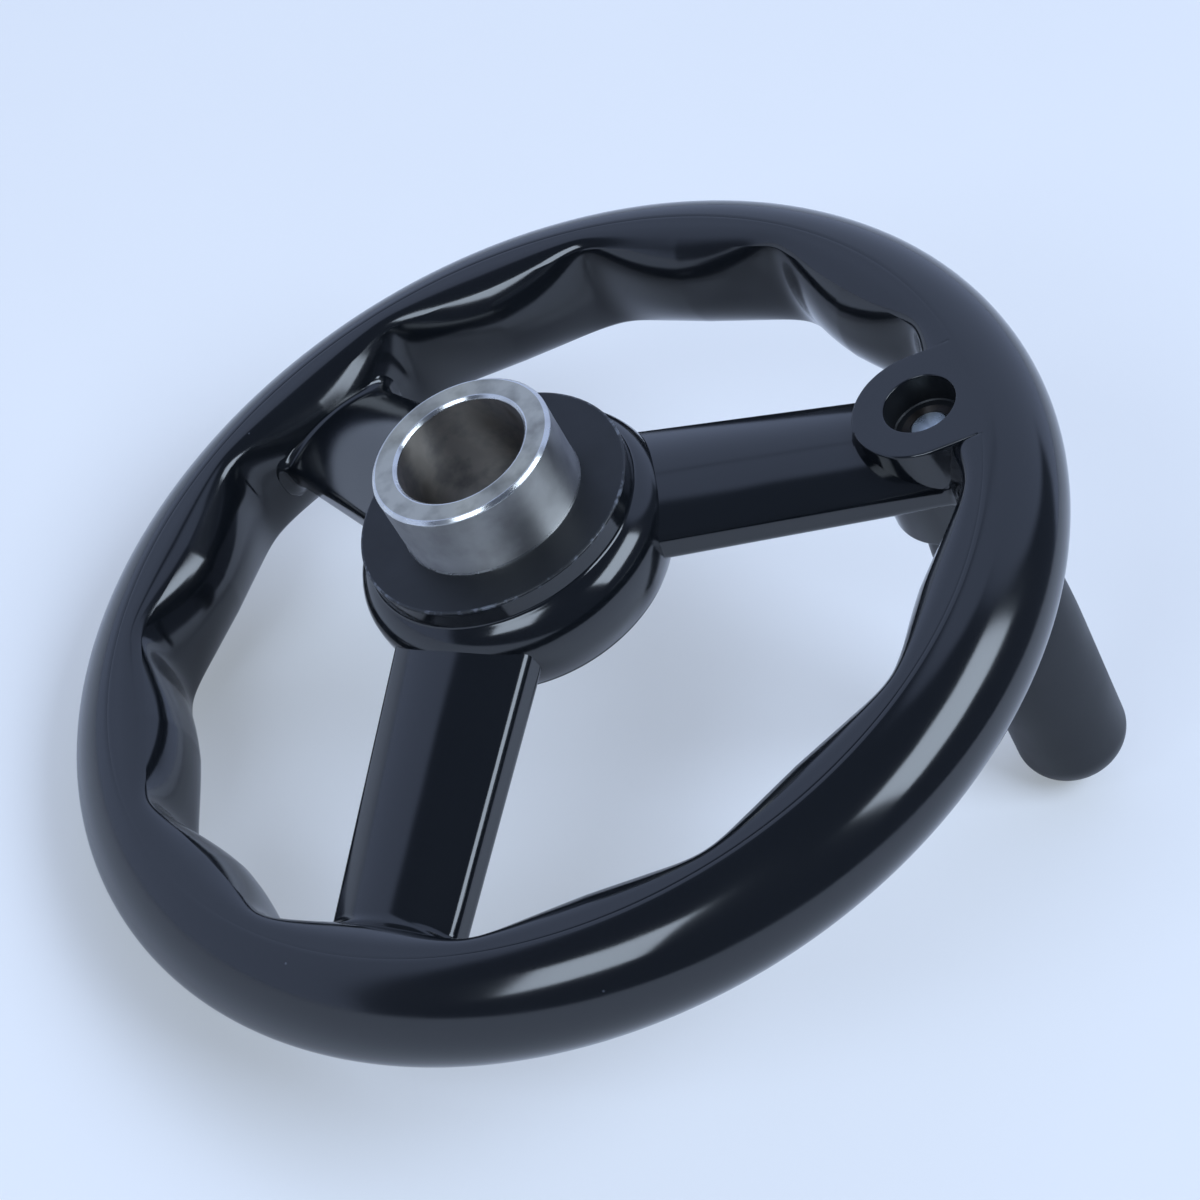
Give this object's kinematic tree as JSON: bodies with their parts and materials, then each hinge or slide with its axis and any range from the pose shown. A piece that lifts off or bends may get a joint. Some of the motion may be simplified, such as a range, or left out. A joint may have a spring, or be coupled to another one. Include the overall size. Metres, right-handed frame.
{
  "type": "machine handwheel",
  "caption": "Black phenolic handwheel with finger-grip rim, dished spokes, steel hub bush and a revolving handle.",
  "frame": {"origin": "centre of the steel bush's open seating end, on the bore axis", "axes": "+Z along the bore, out of the seating end towards the machine; +X towards the revolving handle"},
  "size_m": [0.2, 0.2, 0.1396],
  "materials": {
    "phenolic": "polished black phenolic",
    "bush_steel": "turned, worn",
    "insert_steel": "dull turned",
    "spindle_zinc": "zinc plated",
    "grip_plastic": "satin black"
  },
  "bodies": {
    "wheel": {"wheel_body": "phenolic", "hub_bush": "bush_steel", "boss_insert": "insert_steel", "handle_spindle": "spindle_zinc"},
    "grip": {"handle_grip": "grip_plastic"}
  },
  "joints": [
    {"name": "grip_spin", "type": "hinge", "parent": "wheel", "child": "grip", "pos_m": [0.078, 0, -0.1], "axis": [0, 0, 1], "continuous": true}
  ]
}
